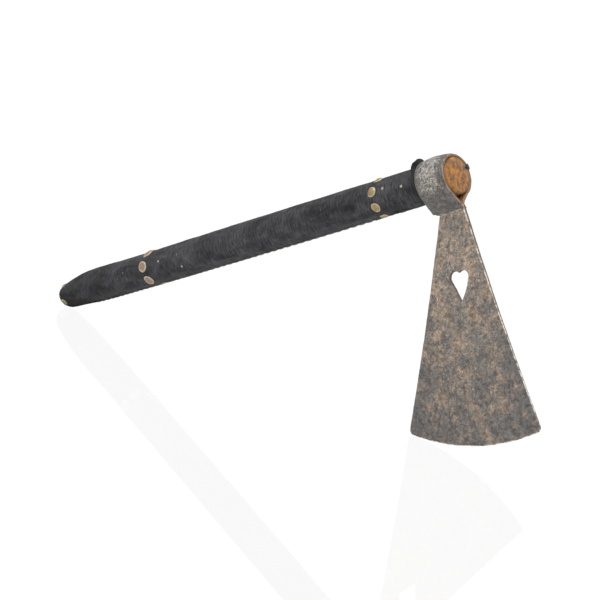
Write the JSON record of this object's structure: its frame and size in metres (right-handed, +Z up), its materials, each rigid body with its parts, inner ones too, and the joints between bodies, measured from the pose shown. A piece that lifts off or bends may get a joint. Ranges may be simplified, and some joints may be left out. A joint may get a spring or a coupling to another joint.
{
  "type": "belt axe",
  "caption": "Belt axe: wide thin flared blade with a heart piercing, wrapped round eye, and a straight cloth-covered haft ringed with brass tacks.",
  "frame": {"origin": "centre of the standing axe's box, on the surface that its heel corner and butt stand on", "axes": "+X from the butt towards the toe of the eye, +Y across the blade, +Z up from the surface"},
  "size_m": [0.6378, 0.0376, 0.2247],
  "materials": {
    "forged_iron_blade": "dark grey and brown mottled patina, rubbed bright along the arrises and the cutting edge",
    "forged_iron_strap": "grey forged surface with silvery worn patches",
    "haft_wood": "old hardwood, orange-brown oiled end grain with dark specks",
    "black_cloth": "tight black cloth, fine crosswise weave, rubbed grey on top",
    "black_hide": "black hide, dull",
    "brass": "dull old brass, olive tarnish with paler rubbed rims",
    "linen_thread": "tan linen thread"
  },
  "bodies": {
    "root": {"blade_plate": "forged_iron_blade", "eye_strap": "forged_iron_strap", "haft_core": "haft_wood", "haft_wrap": "black_cloth", "butt_cap": "black_hide", "eye_collar": "black_cloth", "eye_shim": "black_hide", "head_ring_tacks": "brass", "butt_ring_tacks": "brass", "butt_end_tacks": "brass", "broken_tack_shanks": "brass", "seam_stitches": "linen_thread"}
  },
  "joints": []
}
